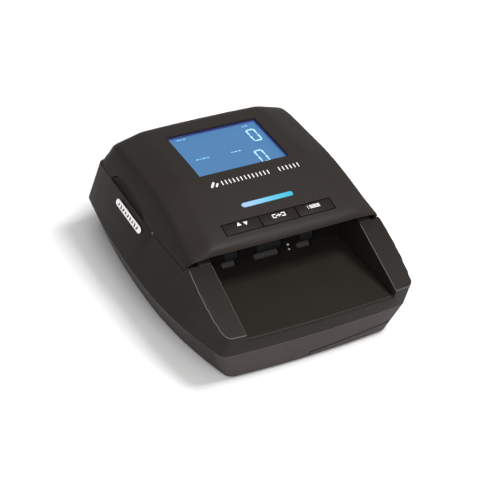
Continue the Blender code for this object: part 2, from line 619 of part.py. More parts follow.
motor = piece("drive_motor", rod(MOTOR_RADIUS, (MOTOR_END_X, MOTOR_Y, MOTOR_Z),
                                 (MOTOR_END_X + MOTOR_LENGTH, MOTOR_Y, MOTOR_Z), 28), STEEL, 0.35, 1.0)
pinion_outline = toothed_outline(PINION_TEETH, GEAR_MODULE, PINION_PHASE)
pinion_shape = prism([(MOTOR_Y + a, MOTOR_Z + b) for a, b in pinion_outline],
                     GEAR_X - GEAR_WIDTH / 2, GEAR_X + GEAR_WIDTH / 2, 0)
pinion = piece("motor_pinion", pinion_shape, (0.7, 0.55, 0.25), 0.35, 1.0, origin=(0, MOTOR_Y, MOTOR_Z))
boolean(pinion, cutter("pinion_shaft", rod(1.0 * MM, (GEAR_X, MOTOR_Y, MOTOR_Z),
                                           (MOTOR_END_X - GAP, MOTOR_Y, MOTOR_Z), 12)), 'UNION')


def belt_outline(radius, steps=10):
    points = []
    for y, start in ((ROLLER_Y[1], -90), (ROLLER_Y[0], 90)):
        for i in range(steps + 1):
            angle = math.radians(start + 180 * i / steps)
            points.append((y + radius * math.cos(angle), DRIVE_Z + radius * math.sin(angle)))
    return points


belt = piece("drive_belt", prism(belt_outline(PULLEY_RADIUS + GAP + BELT_THICK), PULLEY_X - 1.6 * MM,
                                 PULLEY_X + 1.6 * MM, 0), RUBBER, 0.8)
boolean(belt, cutter("belt_inside", prism(belt_outline(PULLEY_RADIUS + GAP), PULLEY_X - 5 * MM,
                                          PULLEY_X + 5 * MM, 0)))

# ---------------------------------------------------------------- rear panel
panel = piece("connector_panel", box((PANEL_X[0] - 1.5 * MM, PANEL_Y, PANEL_Z[0] - 1.2 * MM),
                                     (PANEL_X[1] + 1.5 * MM, PANEL_Y + PANEL_THICK, PANEL_Z[1] + 1.5 * MM)),
              DARK, 0.5)
PANEL_MID = (PANEL_Z[0] + PANEL_Z[1]) / 2
boolean(panel, cutter("inlet_hole", rod(4.3 * MM, (INLET_X, 60 * MM, PANEL_MID),
                                        (INLET_X, 80 * MM, PANEL_MID), 24)))
boolean(panel, cutter("port_hole", box((PORT_X - 4.3 * MM, 60 * MM, PANEL_MID - 1.9 * MM),
                                       (PORT_X + 4.3 * MM, 80 * MM, PANEL_MID + 1.9 * MM))))
boolean(panel, cutter("rocker_hole", box(
    (ROCKER_X - ROCKER_SIZE[0] / 2 - GAP, 60 * MM, PANEL_MID - ROCKER_SIZE[1] / 2 - GAP),
    (ROCKER_X + ROCKER_SIZE[0] / 2 + GAP, 80 * MM, PANEL_MID + ROCKER_SIZE[1] / 2 + GAP))))
inlet = piece("dc_inlet", rod(4.0 * MM, (INLET_X, 60 * MM, PANEL_MID), (INLET_X, 69.6 * MM, PANEL_MID), 16),
              DARK, 0.4)
boolean(inlet, cutter("inlet_bore", tube_ring(2.9 * MM, 1.0 * MM, (INLET_X, 61.5 * MM, PANEL_MID),
                                              (INLET_X, 72 * MM, PANEL_MID), 12)))
port = piece("data_port", box((PORT_X - 4.0 * MM, 61 * MM, PANEL_MID - 1.6 * MM),
                              (PORT_X + 4.0 * MM, 69.6 * MM, PANEL_MID + 1.6 * MM)), STEEL, 0.35, 1.0)
boolean(port, cutter("port_bore", box((PORT_X - 3.4 * MM, 63 * MM, PANEL_MID - 1.0 * MM),
                                      (PORT_X + 3.4 * MM, 72 * MM, PANEL_MID + 1.0 * MM))))

ROCKER_PIVOT = (ROCKER_X, 66.5 * MM, PANEL_MID)
ROCKER_TILT = math.radians(8)


def rocker_outline():
    """Side profile of the rocker: two faces that meet in a shallow valley at its middle."""
    half = ROCKER_SIZE[1] / 2 - 0.6 * MM
    out = 2.4 * MM
    return [(-2.5 * MM, -half * 0.7), (out + 1.1 * MM, -half), (out, 0.0), (out + 1.1 * MM, half),
            (-2.5 * MM, half * 0.7)]


rocker = piece("power_rocker", prism([(ROCKER_PIVOT[1] + a, PANEL_MID + b) for a, b in rocker_outline()],
                                     ROCKER_X - ROCKER_SIZE[0] / 2, ROCKER_X + ROCKER_SIZE[0] / 2, 0),
               DARK, 0.35, origin=ROCKER_PIVOT)
rocker.rotation_euler.x = ROCKER_TILT

# ---------------------------------------------------------------- side badge
BADGE_HALF = between(RIDGE, SHOULDER, BADGE_Z)


badge_x = plan_half(BADGE_HALF, BADGE_Y)
lean = (plan_half(RIDGE, BADGE_Y) - plan_half(SHOULDER, BADGE_Y)) / (LOFT_TOP_Z - RIDGE_Z)
sweep = (plan_half(BADGE_HALF, BADGE_Y + 5 * MM) - plan_half(BADGE_HALF, BADGE_Y - 5 * MM)) / (10 * MM)
outward = Vector((-1.0, -sweep, lean)).normalized()
along = Vector((0, 0, 1)).cross(outward).normalized()
upward = outward.cross(along)
badge_shape = prism(stadium(*BADGE_SIZE), 0.0, 0.6 * MM, 2)
badge_frame = Matrix((along, upward, outward)).transposed().to_4x4()
bmesh.ops.transform(badge_shape, verts=badge_shape.verts, matrix=Matrix.Translation(
    Vector((-badge_x, BADGE_Y, BADGE_Z)) + outward * GAP) @ badge_frame)
piece("side_badge", badge_shape, WHITE, 0.4)

# ================================================================ top cover
# Each station along the cover: distance from the front edge in hundredths of the cover's length,
# crown height, half width of the flat top, half width and height of the cheek's upper edge, and
# half width at the seam.  Heights are hundredths of the crown's height above the seam, and
# widths are hundredths of the base's half width at the seam.
COVER_STATIONS = (
    (0.0, 37.4, 77.0, 95.9, 28.8, 99.8),
    (0.5, 44.0, 76.7, 95.9, 30.3, 99.8),
    (1.8, 49.5, 76.1, 95.7, 31.8, 99.8),
    (5.0, 56.1, 74.9, 95.4, 34.4, 99.8),
    (13.5, 66.2, 72.1, 93.5, 45.0, 99.8),
    (22.9, 76.3, 69.9, 92.0, 58.6, 99.8),
    (35.2, 88.4, 67.5, 90.9, 71.8, 99.8),
    (45.5, 97.5, 65.6, 90.3, 78.8, 99.8),
    (53.0, 100.0, 64.1, 90.1, 80.8, 99.8),
    (70.0, 100.0, 62.9, 90.6, 79.3, 99.8),
    (84.2, 100.0, 62.9, 91.4, 77.8, 99.8),
    (90.7, 99.0, 63.0, 91.4, 75.3, 99.8),
    (94.1, 95.0, 63.0, 91.0, 70.8, 99.7),
    (96.8, 83.4, 62.5, 90.0, 61.1, 99.4),
    (98.7, 63.2, 61.7, 88.6, 43.9, 98.7),
    (99.7, 35.4, 61.1, 87.1, 23.8, 97.6),
    (100.0, 0.0, 60.5, 86.0, 0.0, 96.6),
)
COVER_LENGTH = COVER_REAR - COVER_FRONT
EDGE_Z = SEAM_Z + GAP
RAKE_FADE = 0.25                # the rake dies out over this share of the length


def station_at(distance):
    """Station values at a distance in hundredths of the cover's length, eased between the rows."""
    rows = COVER_STATIONS
    if distance <= rows[0][0]:
        return rows[0]
    for i in range(len(rows) - 1):
        if distance <= rows[i + 1][0]:
            break
    before, start, end, after = rows[max(i - 1, 0)], rows[i], rows[i + 1], rows[min(i + 2, len(rows) - 1)]
    share = (distance - start[0]) / (end[0] - start[0])
    span = end[0] - start[0]
    values = [distance]
    for k in range(1, len(start)):
        slope_in = (end[k] - before[k]) / (end[0] - before[0]) * span
        slope_out = (after[k] - start[k]) / (after[0] - start[0]) * span
        h1, h2 = 2 * share ** 3 - 3 * share ** 2 + 1, share ** 3 - 2 * share ** 2 + share
        h3, h4 = 3 * share ** 2 - 2 * share ** 3, share ** 3 - share ** 2
        values.append(h1 * start[k] + h2 * slope_in + h3 * end[k] + h4 * slope_out)
    return values


def rounded_corner(before, corner, after, radius, steps):
    """Points that replace a corner of a section by a soft curve."""
    before, corner, after = Vector(before), Vector(corner), Vector(after)
    start = corner + (before - corner).normalized() * min(radius, (before - corner).length * 0.45)
    end = corner + (after - corner).normalized() * min(radius, (after - corner).length * 0.45)
    points = []
    for i in range(steps + 1):
        t = i / steps
        points.append((1 - t) ** 2 * start + 2 * t * (1 - t) * corner + t ** 2 * end)
    return points


def cover_section(distance):
    """Half a section, from the crown out to the seam, as (x, z) in metres."""
    _, crown, flat, cheek, cheek_z, seam = station_at(distance)
    half = plan_half(SEAM_PLAN, COVER_FRONT + distance / 100 * COVER_LENGTH) / 100
    rise = (CROWN_Z - EDGE_Z) / 100
    top = EDGE_Z + crown * rise
    crease, foot = (flat * half, top - 0.2 * MM), (seam * half, EDGE_Z)
    edge = (cheek * half, EDGE_Z + cheek_z * rise)
    middle = (flat * half * 0.5, top)
    points = [Vector((0.0, top)), Vector(middle)]
    points += rounded_corner(middle, crease, edge, 2.8 * MM, 3)
    points += [(Vector(crease) + Vector(edge)) / 2]
    points += rounded_corner(crease, edge, foot, 2.4 * MM, 4)
    points += [(Vector(edge) + Vector(foot)) / 2 + Vector((0.3 * MM, 0)), Vector(foot)]
    return points


def cover_y(distance, x, z):
    """Front and rear edges bow gently across the width, and the cheeks' front edge rakes back."""
    share = distance / 100
    bow = REAR_BOW * share - FRONT_BOW * 0.5 * (1 - share)
    rake = (cheek_front_y(z) - COVER_FRONT) * max(1 - share / RAKE_FADE, 0.0)
    return COVER_FRONT + share * COVER_LENGTH + bow * (1 - (x / SEAM_PLAN["half_wide"]) ** 2) + rake


def crown_z(y):
    return EDGE_Z + station_at(100 * (y - COVER_FRONT) / COVER_LENGTH)[1] / 100 * (CROWN_Z - EDGE_Z)


def cover_surface():
    bm = bmesh.new()
    distances = []
    rows = [row[0] for row in COVER_STATIONS]
    for start, end in zip(rows, rows[1:]):
        steps = 2 if end - start > 2.5 else 1
        distances += [start + (end - start) * i / steps for i in range(steps)]
    distances.append(rows[-1])
    grid = []
    for distance in distances:
        half = cover_section(distance)
        full = [Vector((-p.x, p.y)) for p in reversed(half[1:])] + half
        grid.append([bm.verts.new((p.x, cover_y(distance, p.x, p.y), p.y)) for p in full])
    for near, far_row in zip(grid, grid[1:]):
        for i in range(len(near) - 1):
            bm.faces.new((near[i], near[i + 1], far_row[i + 1], far_row[i]))
    return bm


def tilted_box(size, centre, tilt, bevel=0.0):
    """A block turned about X by the slope of the cover, with its middle at `centre`."""
    half = Vector(size) / 2
    bm = box(-half, half, bevel)
    bmesh.ops.transform(bm, matrix=Matrix.Translation(centre) @ Matrix.Rotation(tilt, 4, 'X'), verts=bm.verts)
    return bm


hinge_place = (0, HINGE_Y, HINGE_Z)
cover = piece("top_cover", cover_surface(), BLACK, 0.5, origin=hinge_place)
shell = cover.modifiers.new("shell", 'SOLIDIFY')
shell.thickness = COVER_WALL
shell.offset = -1.0
shell.use_even_offset = True
boolean(cover, cutter("cover_sole", box((-FAR, -FAR, 0), (FAR, FAR, EDGE_Z))))

window_low = (-WINDOW_SIZE[0] / 2 - GAP, WINDOW_Y - WINDOW_SIZE[1] / 2 - GAP, CROWN_Z - 11.3 * MM)
window_high = (WINDOW_SIZE[0] / 2 + GAP, WINDOW_Y + WINDOW_SIZE[1] / 2 + GAP, CROWN_Z + FAR)
boolean(cover, cutter("window_cutter", box(window_low, window_high)))

key_centre = Vector((0, KEY_Y, crown_z(KEY_Y)))
boolean(cover, cutter("key_cutter", tilted_box(
    (KEY_STRIP_LENGTH + 2 * KEY_GAP, KEY_DEPTH + 2 * KEY_GAP, 14 * MM), key_centre, KEY_TILT)))
BAR_TILT = math.radians(12.5)
bar_centre = Vector((0, BAR_Y, crown_z(BAR_Y)))


def bar_shape(grow, low, high):
    bm = prism(stadium(BAR_LENGTH + 2 * grow, BAR_WIDTH + 2 * grow), low, high, 2)
    lie = Matrix.Translation(bar_centre) @ Matrix.Rotation(BAR_TILT, 4, 'X')
    bmesh.ops.transform(bm, matrix=lie, verts=bm.verts)
    return bm


boolean(cover, cutter("bar_cutter", bar_shape(GAP, -6 * MM, 6 * MM)))

boolean(cover, cutter("finger_cutter", prism(finger_outline(), -FAR, FINGER_BACK + GAP, 0)))

for side in (-1, 1):
    low_x, high_x = sorted((side * HINGE_X, side * (HINGE_X - KNUCKLE_LENGTH)))
    low_x, high_x = low_x + GAP / 2, high_x - GAP / 2
    boolean(cover, cutter("arm_block", box((low_x, 67.2 * MM, EDGE_Z + 0.2 * MM),
                                           (high_x, HINGE_Y, HINGE_Z + HINGE_RADIUS - 0.1 * MM))), 'UNION')
    boolean(cover, cutter("arm_round", rod(HINGE_RADIUS, (low_x, HINGE_Y, HINGE_Z),
                                           (high_x, HINGE_Y, HINGE_Z), 20)), 'UNION')
    boolean(cover, cutter("arm_bore", rod(HINGE_PIN_RADIUS + GAP, (low_x - 1 * MM, HINGE_Y, HINGE_Z),
                                          (high_x + 1 * MM, HINGE_Y, HINGE_Z), 16)))

# ---------------------------------------------------------------- display, bar and keys
window = piece("display_window", box((-WINDOW_SIZE[0] / 2, WINDOW_Y - WINDOW_SIZE[1] / 2, CROWN_Z - 2.3 * MM),
                                     (WINDOW_SIZE[0] / 2, WINDOW_Y + WINDOW_SIZE[1] / 2, CROWN_Z - 0.8 * MM)),
               (0.12, 0.3, 0.7), 0.1)
lcd = piece("display_module", box((-32 * MM, WINDOW_Y - 20 * MM, CROWN_Z - 6.2 * MM),
                                  (32 * MM, WINDOW_Y + 20 * MM, CROWN_Z - 3.0 * MM)), (0.2, 0.5, 0.8), 0.3)
display_board = piece("display_board", box((-35 * MM, WINDOW_Y - 24 * MM, CROWN_Z - 8.1 * MM),
                                           (35 * MM, WINDOW_Y + 23 * MM, CROWN_Z - 6.5 * MM)), BOARD, 0.5)
light_bar = piece("light_bar", bar_shape(0.0, -3.4 * MM, 0.15 * MM), (0.4, 0.7, 1.0), 0.2)
key_board = piece("key_board", box((-38 * MM, -27 * MM, key_centre.z - KEY_BOARD_DROP),
                                   (38 * MM, -5 * MM, key_centre.z - KEY_BOARD_DROP + 1.4 * MM)),
                  BOARD, 0.5)

KEY_NAMES = ("key_arrows", "key_note", "key_menu")
key_length = (KEY_STRIP_LENGTH - 2 * KEY_GAP) / 3
KEY_THICK = 2.6 * MM
keys = []
key_normal = Matrix.Rotation(KEY_TILT, 3, 'X') @ Vector((0, 0, 1))
for index, name in enumerate(KEY_NAMES):
    x = (index - 1) * (key_length + KEY_GAP)
    middle = Vector((x, key_centre.y, key_centre.z)) - key_normal * (KEY_THICK / 2 - 0.1 * MM)
    key = piece(name, tilted_box((key_length, KEY_DEPTH, KEY_THICK), middle, KEY_TILT, 0.3 * MM), BLACK, 0.45,
                origin=middle)
    stem_top = middle - key_normal * (KEY_THICK / 2 - 0.4 * MM)
    boolean(key, cutter("key_stem", rod(1.5 * MM, stem_top, stem_top - key_normal * 1.9 * MM, 12)), 'UNION')
    keys.append(key)

# ---------------------------------------------------------------- upper path plate
PLATE_Z = BED_Z + PATH_GAP
PLATE_TOP_Z = SEAM_Z + 3.4 * MM
plate_outline = [(THROAT_Y - 2.0 * MM, PLATE_TOP_Z), (THROAT_Y - 0.9 * MM, PLATE_Z + 4.8 * MM),
                 (THROAT_Y, PLATE_Z),
                 (66 * MM, PLATE_Z), (66 * MM, PLATE_Z + PATH_PLATE),
                 (THROAT_Y + 1.6 * MM, PLATE_Z + PATH_PLATE),
                 (THROAT_Y + 0.7 * MM, PLATE_Z + 4.8 * MM), (THROAT_Y - 0.4 * MM, PLATE_TOP_Z)]
path_plate = piece("upper_path_plate", prism(plate_outline, -COVER_OPEN_HALF, COVER_OPEN_HALF, 0), DARK, 0.45)
for y, rollers in zip(ROLLER_Y, (FRONT_ROLLERS, REAR_ROLLERS)):
    for x, width in rollers:
        ahead = 12 * MM if y < 0 else 5 * MM
        boolean(path_plate, cutter("pinch_hole", box((x - width / 2 - 0.6 * MM, y - ahead, 28 * MM),
                                                     (x + width / 2 + 0.6 * MM, y + 5 * MM,
                                                      PINCH_Z + PINCH_RADIUS + 0.8 * MM))))
boolean(path_plate, cutter("upper_window_hole", box((-SENSOR_HALF - GAP, SENSOR_Y[0] - GAP, 25 * MM),
                                                    (SENSOR_HALF + GAP, SENSOR_Y[1] + GAP, 40 * MM))))
upper_window = piece("upper_sensor_window", box((-SENSOR_HALF, SENSOR_Y[0], PLATE_Z + 0.1 * MM),
                                                (SENSOR_HALF, SENSOR_Y[1], PLATE_Z + PATH_PLATE - 0.1 * MM)),
                     (0.05, 0.02, 0.08), 0.1)
upper_board = piece("upper_sensor_board", box((-SENSOR_HALF, SENSOR_Y[0] - 3 * MM, PLATE_Z + 4 * MM),
                                              (SENSOR_HALF, SENSOR_Y[1] + 3 * MM, PLATE_Z + 5.4 * MM)),
                    BOARD, 0.5)

POST_X = 32.0 * MM
for y in ROLLER_Y:
    for side in (-1, 1):
        low, high = sorted((side * (POST_X - 1.2 * MM), side * (POST_X + 1.2 * MM)))
        boolean(path_plate, cutter("pinch_post", box((low, y - 2.6 * MM, PLATE_Z + 0.6 * MM),
                                                     (high, y + 2.6 * MM, PINCH_Z + 2.4 * MM))), 'UNION')
        boolean(path_plate, cutter("post_bore", rod(PINCH_SHAFT_RADIUS + GAP, (low - 1 * MM, y, PINCH_Z),
                                                    (high + 1 * MM, y, PINCH_Z), 12)))


def pinch_line(label, y, rollers):
    """One free shaft with its rollers, in the cover above a driven shaft."""
    names = ("left", "middle", "right") if len(rollers) == 3 else ("left", "right")
    end = POST_X + 2.4 * MM
    pieces = [piece(f"{label}_pinch_shaft", rod(PINCH_SHAFT_RADIUS, (-end, y, PINCH_Z), (end, y, PINCH_Z), 12),
                    STEEL, 0.3, 1.0, origin=(0, y, PINCH_Z))]
    for name, (x, width) in zip(names, rollers):
        pieces.append(piece(f"{label}_pinch_roller_{name}",
                            tube_ring(PINCH_RADIUS, PINCH_SHAFT_RADIUS + GAP, (x - width / 2, y, PINCH_Z),
                                      (x + width / 2, y, PINCH_Z), 24), GREY_RUBBER, 0.75,
                            origin=(0, y, PINCH_Z)))
    axis = axis_empty(f"{label}_pinch_axis", (0, y, PINCH_Z))
    hang_on(axis, pieces)
    return axis


pinch_axes = [pinch_line("front", ROLLER_Y[0], FRONT_ROLLERS), pinch_line("rear", ROLLER_Y[1], REAR_ROLLERS)]
cover_axis = axis_empty("cover_hinge_axis", hinge_place)
hang_on(cover_axis, [cover, window, lcd, display_board, light_bar, key_board, path_plate, upper_window,
                     upper_board] + keys + pinch_axes)
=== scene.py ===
import json
import math

import bmesh
import bpy
from mathutils import Matrix, Vector
from mathutils.bvhtree import BVHTree


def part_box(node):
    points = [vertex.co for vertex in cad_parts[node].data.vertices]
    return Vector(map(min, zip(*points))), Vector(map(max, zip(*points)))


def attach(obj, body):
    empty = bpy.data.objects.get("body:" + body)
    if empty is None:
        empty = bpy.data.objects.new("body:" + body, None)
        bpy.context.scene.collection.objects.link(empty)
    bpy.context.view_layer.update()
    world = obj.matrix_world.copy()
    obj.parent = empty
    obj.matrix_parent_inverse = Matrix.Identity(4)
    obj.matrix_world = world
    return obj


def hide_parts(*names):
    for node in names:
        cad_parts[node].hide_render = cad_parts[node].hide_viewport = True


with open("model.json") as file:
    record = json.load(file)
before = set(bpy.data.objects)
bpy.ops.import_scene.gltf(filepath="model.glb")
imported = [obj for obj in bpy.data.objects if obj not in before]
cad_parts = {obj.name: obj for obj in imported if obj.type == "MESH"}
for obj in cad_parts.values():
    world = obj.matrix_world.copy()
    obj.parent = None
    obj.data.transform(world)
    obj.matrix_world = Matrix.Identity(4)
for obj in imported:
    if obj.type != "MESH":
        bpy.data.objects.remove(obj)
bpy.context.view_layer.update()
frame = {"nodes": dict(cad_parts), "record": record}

# ------------------------------------------------------------------ the camera and the light
# The detector is seen from above its front left corner, by a soft lamp high on its right side.
# A wider, weaker lamp in front and a pale room keep its black sides readable.
bpy.context.scene.view_settings.view_transform = 'Standard'
viewer = bpy.data.cameras.new("viewer")
viewer.lens = 129.6
viewer.sensor_width = 36.0
viewer_stand = bpy.data.objects.new("viewer", viewer)
viewer_right = Vector((0.84245, -0.51625, 0.15412))
viewer_up = Vector((0.22771, 0.60045, 0.76656))
viewer_back = viewer_right.cross(viewer_up)
viewer_turn = Matrix((viewer_right, viewer_up, viewer_back)).transposed().to_4x4()
viewer_stand.matrix_world = Matrix.Translation((-0.4875, -0.6129, 0.6433)) @ viewer_turn
bpy.context.scene.collection.objects.link(viewer_stand)
bpy.context.scene.camera = viewer_stand

detector_middle = Vector((0.0, 0.0, 0.03))


def lamp(name, place, size, watts, colour=(1.0, 1.0, 1.0)):
    """A square lamp that looks at the middle of the detector."""
    light = bpy.data.lights.new(name, 'AREA')
    light.size, light.energy, light.color = size, watts, colour
    stand = bpy.data.objects.new(name, light)
    turn = (detector_middle - Vector(place)).to_track_quat('-Z', 'Y').to_matrix().to_4x4()
    stand.matrix_world = Matrix.Translation(place) @ turn
    bpy.context.scene.collection.objects.link(stand)


lamp("soft_lamp", (0.46, -0.14, 1.20), 0.40, 14.0)
lamp("front_fill", (-0.35, -1.10, 0.92), 1.0, 11.0, (1.0, 0.985, 0.975))

room = bpy.data.worlds.new("room")
room.use_nodes = True
room.node_tree.nodes["Background"].inputs["Color"].default_value = (1.0, 1.0, 1.0, 1.0)
room.node_tree.nodes["Background"].inputs["Strength"].default_value = 0.5
bpy.context.scene.world = room


# ------------------------------------------------------------------ the case
# The lower housing is one black ABS moulding with a fine spark texture, its corners rolled over
# by the mould.  The feed tray's side rails and the front lip are part of it.
class Value:
    """A socket of a node tree that takes part in Python arithmetic."""

    def __init__(self, finish, socket):
        self.finish, self.socket = finish, socket

    def _math(self, operation, *others):
        return self.finish.node("Math", {"operation": operation}, dict(enumerate(others)))

    def __add__(self, other):
        return self._math('ADD', self, other)

    def __sub__(self, other):
        return self._math('SUBTRACT', self, other)

    def __rsub__(self, other):
        return self._math('SUBTRACT', other, self)

    def __mul__(self, other):
        return self._math('MULTIPLY', self, other)

    def __truediv__(self, other):
        return self._math('DIVIDE', self, other)

    def __abs__(self):
        return self._math('ABSOLUTE', self)

    def __gt__(self, other):
        return self._math('GREATER_THAN', self, other)

    def __lt__(self, other):
        return self._math('LESS_THAN', self, other)


class Finish:
    """A material being built: constants on its shader, and nodes that feed it."""

    def __init__(self, name, **constants):
        self.material = bpy.data.materials.new(name)
        self.material.use_nodes = True
        self.tree = self.material.node_tree
        self.shader = self.tree.nodes["Principled BSDF"]
        for label, value in constants.items():
            self.feed(label.replace("_", " "), value)

    def set(self, socket, value):
        if isinstance(value, Value):
            self.tree.links.new(value.socket, socket)
        elif isinstance(value, tuple) and socket.type == 'RGBA':
            socket.default_value = (*value, 1.0)
        else:
            socket.default_value = value

    def feed(self, label, value):
        self.set(self.shader.inputs[label], value)

    def node(self, kind, settings=None, inputs=None, output=0):
        """Adds a node, sets its settings and then its sockets, and gives one of its outputs."""
        made = self.tree.nodes.new("ShaderNode" + kind)
        for label, value in (settings or {}).items():
            setattr(made, label, value)
        for label, value in (inputs or {}).items():
            self.set(made.inputs[label], value)
        return Value(self, made.outputs[output])

    def place(self):
        return self.node("TexCoord", output="Object")

    def along(self, axis):
        return self.node("SeparateXYZ", inputs={0: self.place()}, output=axis)

    def noise(self, scale, detail=2.0, rough=0.5, stretch=(1.0, 1.0, 1.0)):
        spot = self.node("Mapping", inputs={"Vector": self.place(), "Scale": stretch})
        return self.node("TexNoise", inputs={"Vector": spot, "Scale": scale, "Detail": detail,
                                             "Roughness": rough})

    def blend(self, share, low, high):
        return self.node("Mix", {"data_type": 'RGBA'}, {"Factor": share, 6: low, 7: high}, output=2)

    def bump(self, height, depth):
        self.feed("Normal", self.node("Bump", inputs={"Height": height, "Distance": depth,
                                                      "Strength": 1.0}))


def moulded(name, dark, light, roughness, spark=0.00004, ridge=None):
    """Spark-textured plastic: fine pits, and a slow drift of tone and sheen.

    Below `ridge` the skirt is painted paler, most of all in front: a painted reflection of the pale
    counter it faces.
    A thin pale line along `ridge` is a painted highlight on the crease."""
    finish = Finish(name, Specular_IOR_Level=0.07)
    drift = finish.noise(34.0, 3.0)
    pits = finish.noise(2200.0, 2.0, 0.6)
    tone = finish.blend(drift * 0.6 + pits * 0.4, dark, light)
    if ridge:
        height = finish.along(2) - ridge
        front_edge, ridge_highlight_half = -0.066, 0.0003
        # Painted light: the skirt is painted paler, most in front, as reflected counter light, and
        # the pale ridge line is a painted highlight.
        painted_skirt_light = (finish.along(1) < front_edge) * 0.26 + 0.22
        painted_ridge_highlight = (abs(height) < ridge_highlight_half) * 0.5
        tone = finish.blend((height < 0.0) * painted_skirt_light + painted_ridge_highlight, tone, (0.085, 0.072, 0.072))
    finish.feed("Base Color", tone)
    finish.feed("Roughness", drift * 0.10 + pits * 0.06 + (roughness - 0.08))
    finish.bump(pits, spark)
    return finish.material


def body_of(node):
    """The body that a CAD node moves with."""
    for body, nodes in frame["record"]["behaviour"]["bodies"].items():
        if node in nodes:
            return body


def shown(name, bm, material, body):
    """Puts a finished bmesh in the scene as a piece that rides on a body."""
    mesh = bpy.data.meshes.new(name)
    bm.to_mesh(mesh)
    bm.free()
    mesh.materials.append(material)
    mesh.shade_smooth()
    mesh.set_sharp_from_angle(angle=math.radians(35.0))
    piece = bpy.data.objects.new(name, mesh)
    bpy.context.scene.collection.objects.link(piece)
    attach(piece, body)
    return piece


def node_bmesh(node):
    """A merged copy of a CAD body, with the cuts across its flat faces dissolved."""
    bm = bmesh.new()
    bm.from_mesh(frame["nodes"][node].data)
    bmesh.ops.remove_doubles(bm, verts=bm.verts, dist=2e-6)
    bmesh.ops.dissolve_limit(bm, angle_limit=math.radians(0.4), verts=bm.verts[:],
                             edges=bm.edges[:])
    return bm


def roll_edges(piece, width, angle=30.0):
    """Rolls over every edge of a piece that turns by more than `angle` degrees."""
    roll = piece.modifiers.new("roll", 'BEVEL')
    roll.width, roll.segments, roll.limit_method = width, 2, 'ANGLE'
    roll.angle_limit, roll.harden_normals = math.radians(angle), True


def softened(name, node, edge, material, angle=30.0):
    """A CAD body with its corners rolled over, standing in for that body."""
    piece = shown(name, node_bmesh(node), material, body_of(node))
    roll_edges(piece, edge, angle)
    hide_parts(node)


def bead(name, place, axis, radius, material, body):
    """A small round bead half sunk in a wall."""
    bm = bmesh.new()
    bmesh.ops.create_uvsphere(bm, u_segments=16, v_segments=10, radius=radius)
    turn = Vector(axis).to_track_quat('Z', 'Y').to_matrix().to_4x4()
    bmesh.ops.transform(bm, matrix=Matrix.Translation(place) @ turn, verts=bm.verts)
    shown(name, bm, material, body)


def rolled_faces(bm, rims, width, segments):
    """Rolls chosen edges over and gives the new faces."""
    made = bmesh.ops.bevel(bm, geom=rims, offset=width, segments=segments, profile=0.5,
                           affect='EDGES', clamp_overlap=True, material=-1)
    return made["faces"]


# The front lip's rim is rolled most.  The side rails' rolled rims get a pale material, a painted
# highlight, and their flat tops are a little darker than the rest.
PAINTED_HIGHLIGHT, RAIL_TOP = 1, 2
lip_roll, rail_roll, case_roll = 0.0016, 0.0006, 0.0006
# The skirt below the ridge is painted paler: painted reflection of the counter.
case_black = moulded("case_black", (0.0160, 0.0130, 0.0110), (0.0215, 0.0178, 0.0153), 0.45,
                     ridge=0.0193)
# Painted highlight: this pale material on the rolled rail rims and on the seam pip.
painted_edge_highlight = moulded("painted_edge_highlight", (0.085, 0.075, 0.070), (0.17, 0.155, 0.145), 0.35)
rail_black = moulded("rail_black", (0.0120, 0.0098, 0.0083), (0.0165, 0.0135, 0.0117), 0.5)
case_bm = node_bmesh("base_housing")
lip_front, lip_low, lip_high = -0.0735, 0.0285, 0.0305
lip_rims = []
for edge in case_bm.edges:
    middle = (edge.verts[0].co + edge.verts[1].co) / 2
    normals = [face.normal for face in edge.link_faces]
    if middle.y < lip_front and lip_low < middle.z < lip_high and len(normals) == 2:
        if max(normal.z for normal in normals) > 0.9 and min(normal.y for normal in normals) < -0.9:
            lip_rims.append(edge)
rolled_faces(case_bm, lip_rims, lip_roll, 4)
rail_lean, along_rail = Vector((0.0, -0.359, 0.933)), 0.995
bare_rail_end, rail_end = -0.036, -0.02
rail_rims = []
for edge in case_bm.edges:
    on_rail = [face.normal.dot(rail_lean) > along_rail for face in edge.link_faces]
    if sum(on_rail) == 1 and (edge.verts[0].co.y + edge.verts[1].co.y) / 2 < bare_rail_end:
        rail_rims.append(edge)
rail_rolls = rolled_faces(case_bm, rail_rims, rail_roll, 4)
for face in case_bm.faces:
    if face.normal.dot(rail_lean) > along_rail and face.calc_center_median().y < rail_end:
        face.material_index = RAIL_TOP
for face in rail_rolls:
    face.material_index = PAINTED_HIGHLIGHT
case_shell = shown("case_shell", case_bm, case_black, "base")
case_shell.data.materials.append(painted_edge_highlight)
case_shell.data.materials.append(rail_black)
for face in case_shell.data.polygons:
    face.use_smooth = face.material_index != PAINTED_HIGHLIGHT
roll_edges(case_shell, case_roll)
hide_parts("base_housing")
# The seam pip is painted pale: a painted glint.
bead("seam_pip", (-0.0622, 0.0030, 0.0462), (-1, 0, 0), 0.0007, painted_edge_highlight, "base")

# The battery door is the same moulding.  Its rolled rims are near black: painted shade in the seam
# round it.
painted_seam_shade = moulded("painted_seam_shade", (0.0030, 0.0026, 0.0024), (0.0050, 0.0044, 0.0040), 0.6)
door_roll, corner_angle = 0.0004, 0.6
door_bm = node_bmesh("battery_door")
door_rims = [edge for edge in door_bm.edges if edge.calc_face_angle(0.0) > corner_angle]
for face in rolled_faces(door_bm, door_rims, door_roll, 2):
    face.material_index = 1
door_skin = shown("battery_door_skin", door_bm, case_black, "door")
door_skin.data.materials.append(painted_seam_shade)
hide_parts("battery_door")

